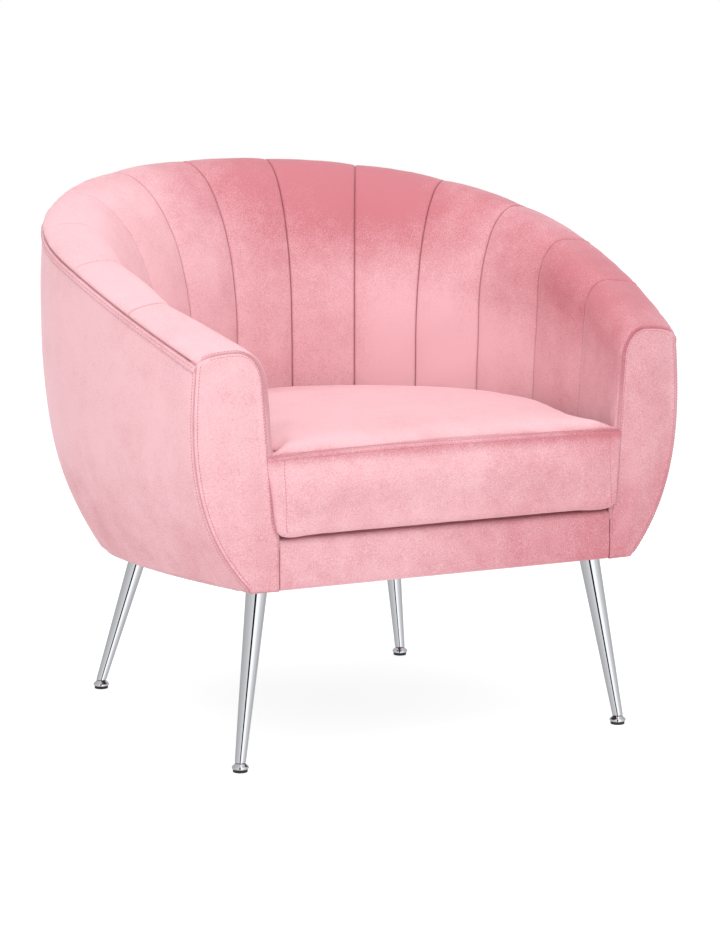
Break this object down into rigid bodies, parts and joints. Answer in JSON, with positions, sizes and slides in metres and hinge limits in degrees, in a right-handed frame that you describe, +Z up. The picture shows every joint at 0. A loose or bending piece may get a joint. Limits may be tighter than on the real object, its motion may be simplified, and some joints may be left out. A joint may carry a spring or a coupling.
{
  "type": "upholstered armchair",
  "caption": "Channel-back velvet tub armchair with a loose boxed seat cushion, on splayed tapered chrome legs with levelling glides.",
  "frame": {"origin": "on the floor, under the middle of the whole chair in plan", "axes": "+Z up, the seat opens towards -Y, +X to the right of someone looking at its front"},
  "size_m": [0.8426, 0.741, 0.7746],
  "materials": {
    "velvet": "cut-pile velvet, candy pink",
    "deck_cloth": "plain woven deck cloth",
    "dust_cloth": "black non-woven dust cloth",
    "webbing": "elastic webbing",
    "foam": "open-cell foam",
    "zip": "moulded zip teeth on tape",
    "plywood": "raw plywood",
    "chrome": "polished chrome plate",
    "plate_steel": "zinc plated",
    "pad_rubber": "matt black"
  },
  "bodies": {
    "chair": {"arm_board_left": "plywood", "arm_board_right": "plywood", "arm_front_panel_left": "velvet", "arm_front_panel_right": "velvet", "back_rib_left": "plywood", "back_rib_right": "plywood", "channel_pad_01": "velvet", "channel_pad_02": "velvet", "channel_pad_03": "velvet", "channel_pad_04": "velvet", "channel_pad_05": "velvet", "channel_pad_06": "velvet", "channel_pad_07": "velvet", "channel_pad_08": "velvet", "channel_pad_09": "velvet", "channel_pad_10": "velvet", "channel_pad_11": "velvet", "channel_pad_12": "velvet", "channel_pad_13": "velvet", "corner_rib_left": "plywood", "corner_rib_right": "plywood", "dust_cover": "dust_cloth", "leg_back_left": "chrome", "leg_back_right": "chrome", "leg_front_left": "chrome", "leg_front_right": "chrome", "leg_plate_back_left": "plate_steel", "leg_plate_back_right": "plate_steel", "leg_plate_front_left": "plate_steel", "leg_plate_front_right": "plate_steel", "outer_cover_back": "velvet", "outer_cover_left": "velvet", "outer_cover_right": "velvet", "seat_deck": "deck_cloth", "seat_front_border": "velvet", "seat_rail_back": "plywood", "seat_rail_front": "plywood", "seat_rail_left": "plywood", "seat_rail_right": "plywood", "seat_strap_1": "webbing", "seat_strap_2": "webbing", "seat_strap_3": "webbing", "seat_strap_4": "webbing", "seat_strap_5": "webbing", "side_rib_left": "plywood", "side_rib_right": "plywood", "top_rail": "plywood"},
    "seat_cushion": {"cushion_cover": "velvet", "cushion_foam": "foam", "cushion_zip": "zip"},
    "glide_foot_front_left": {"glide_pad_front_left": "pad_rubber"},
    "glide_screw_front_left": {"glide_front_left": "chrome"},
    "glide_foot_front_right": {"glide_pad_front_right": "pad_rubber"},
    "glide_screw_front_right": {"glide_front_right": "chrome"},
    "glide_foot_back_left": {"glide_pad_back_left": "pad_rubber"},
    "glide_screw_back_left": {"glide_back_left": "chrome"},
    "glide_foot_back_right": {"glide_pad_back_right": "pad_rubber"},
    "glide_screw_back_right": {"glide_back_right": "chrome"}
  },
  "joints": [
    {"name": "seat_cushion_lift", "type": "slide", "parent": "chair", "child": "seat_cushion", "axis": [0, 0, 1], "range_m": [0, 0.35]},
    {"name": "glide_lower_front_left", "type": "slide", "parent": "chair", "child": "glide_foot_front_left", "axis": [0, 0, -1], "range_m": [0, 0.006]},
    {"name": "glide_turn_front_left", "type": "hinge", "parent": "glide_foot_front_left", "child": "glide_screw_front_left", "pos_m": [-0.298, -0.315, 0.02], "axis": [0, 0, -1], "range_deg": [0, 2165]},
    {"name": "glide_lower_front_right", "type": "slide", "parent": "chair", "child": "glide_foot_front_right", "axis": [0, 0, -1], "range_m": [0, 0.006]},
    {"name": "glide_turn_front_right", "type": "hinge", "parent": "glide_foot_front_right", "child": "glide_screw_front_right", "pos_m": [0.298, -0.315, 0.02], "axis": [0, 0, -1], "range_deg": [0, 2165]},
    {"name": "glide_lower_back_left", "type": "slide", "parent": "chair", "child": "glide_foot_back_left", "axis": [0, 0, -1], "range_m": [0, 0.006]},
    {"name": "glide_turn_back_left", "type": "hinge", "parent": "glide_foot_back_left", "child": "glide_screw_back_left", "pos_m": [-0.254, 0.2445, 0.02], "axis": [0, 0, -1], "range_deg": [0, 2165]},
    {"name": "glide_lower_back_right", "type": "slide", "parent": "chair", "child": "glide_foot_back_right", "axis": [0, 0, -1], "range_m": [0, 0.006]},
    {"name": "glide_turn_back_right", "type": "hinge", "parent": "glide_foot_back_right", "child": "glide_screw_back_right", "pos_m": [0.254, 0.2445, 0.02], "axis": [0, 0, -1], "range_deg": [0, 2165]}
  ],
  "couplings": [
    {"joint": "glide_turn_front_left", "follows": "glide_lower_front_left", "rad_per_m": 6283.2},
    {"joint": "glide_turn_front_right", "follows": "glide_lower_front_right", "rad_per_m": 6283.2},
    {"joint": "glide_turn_back_left", "follows": "glide_lower_back_left", "rad_per_m": 6283.2},
    {"joint": "glide_turn_back_right", "follows": "glide_lower_back_right", "rad_per_m": 6283.2}
  ]
}
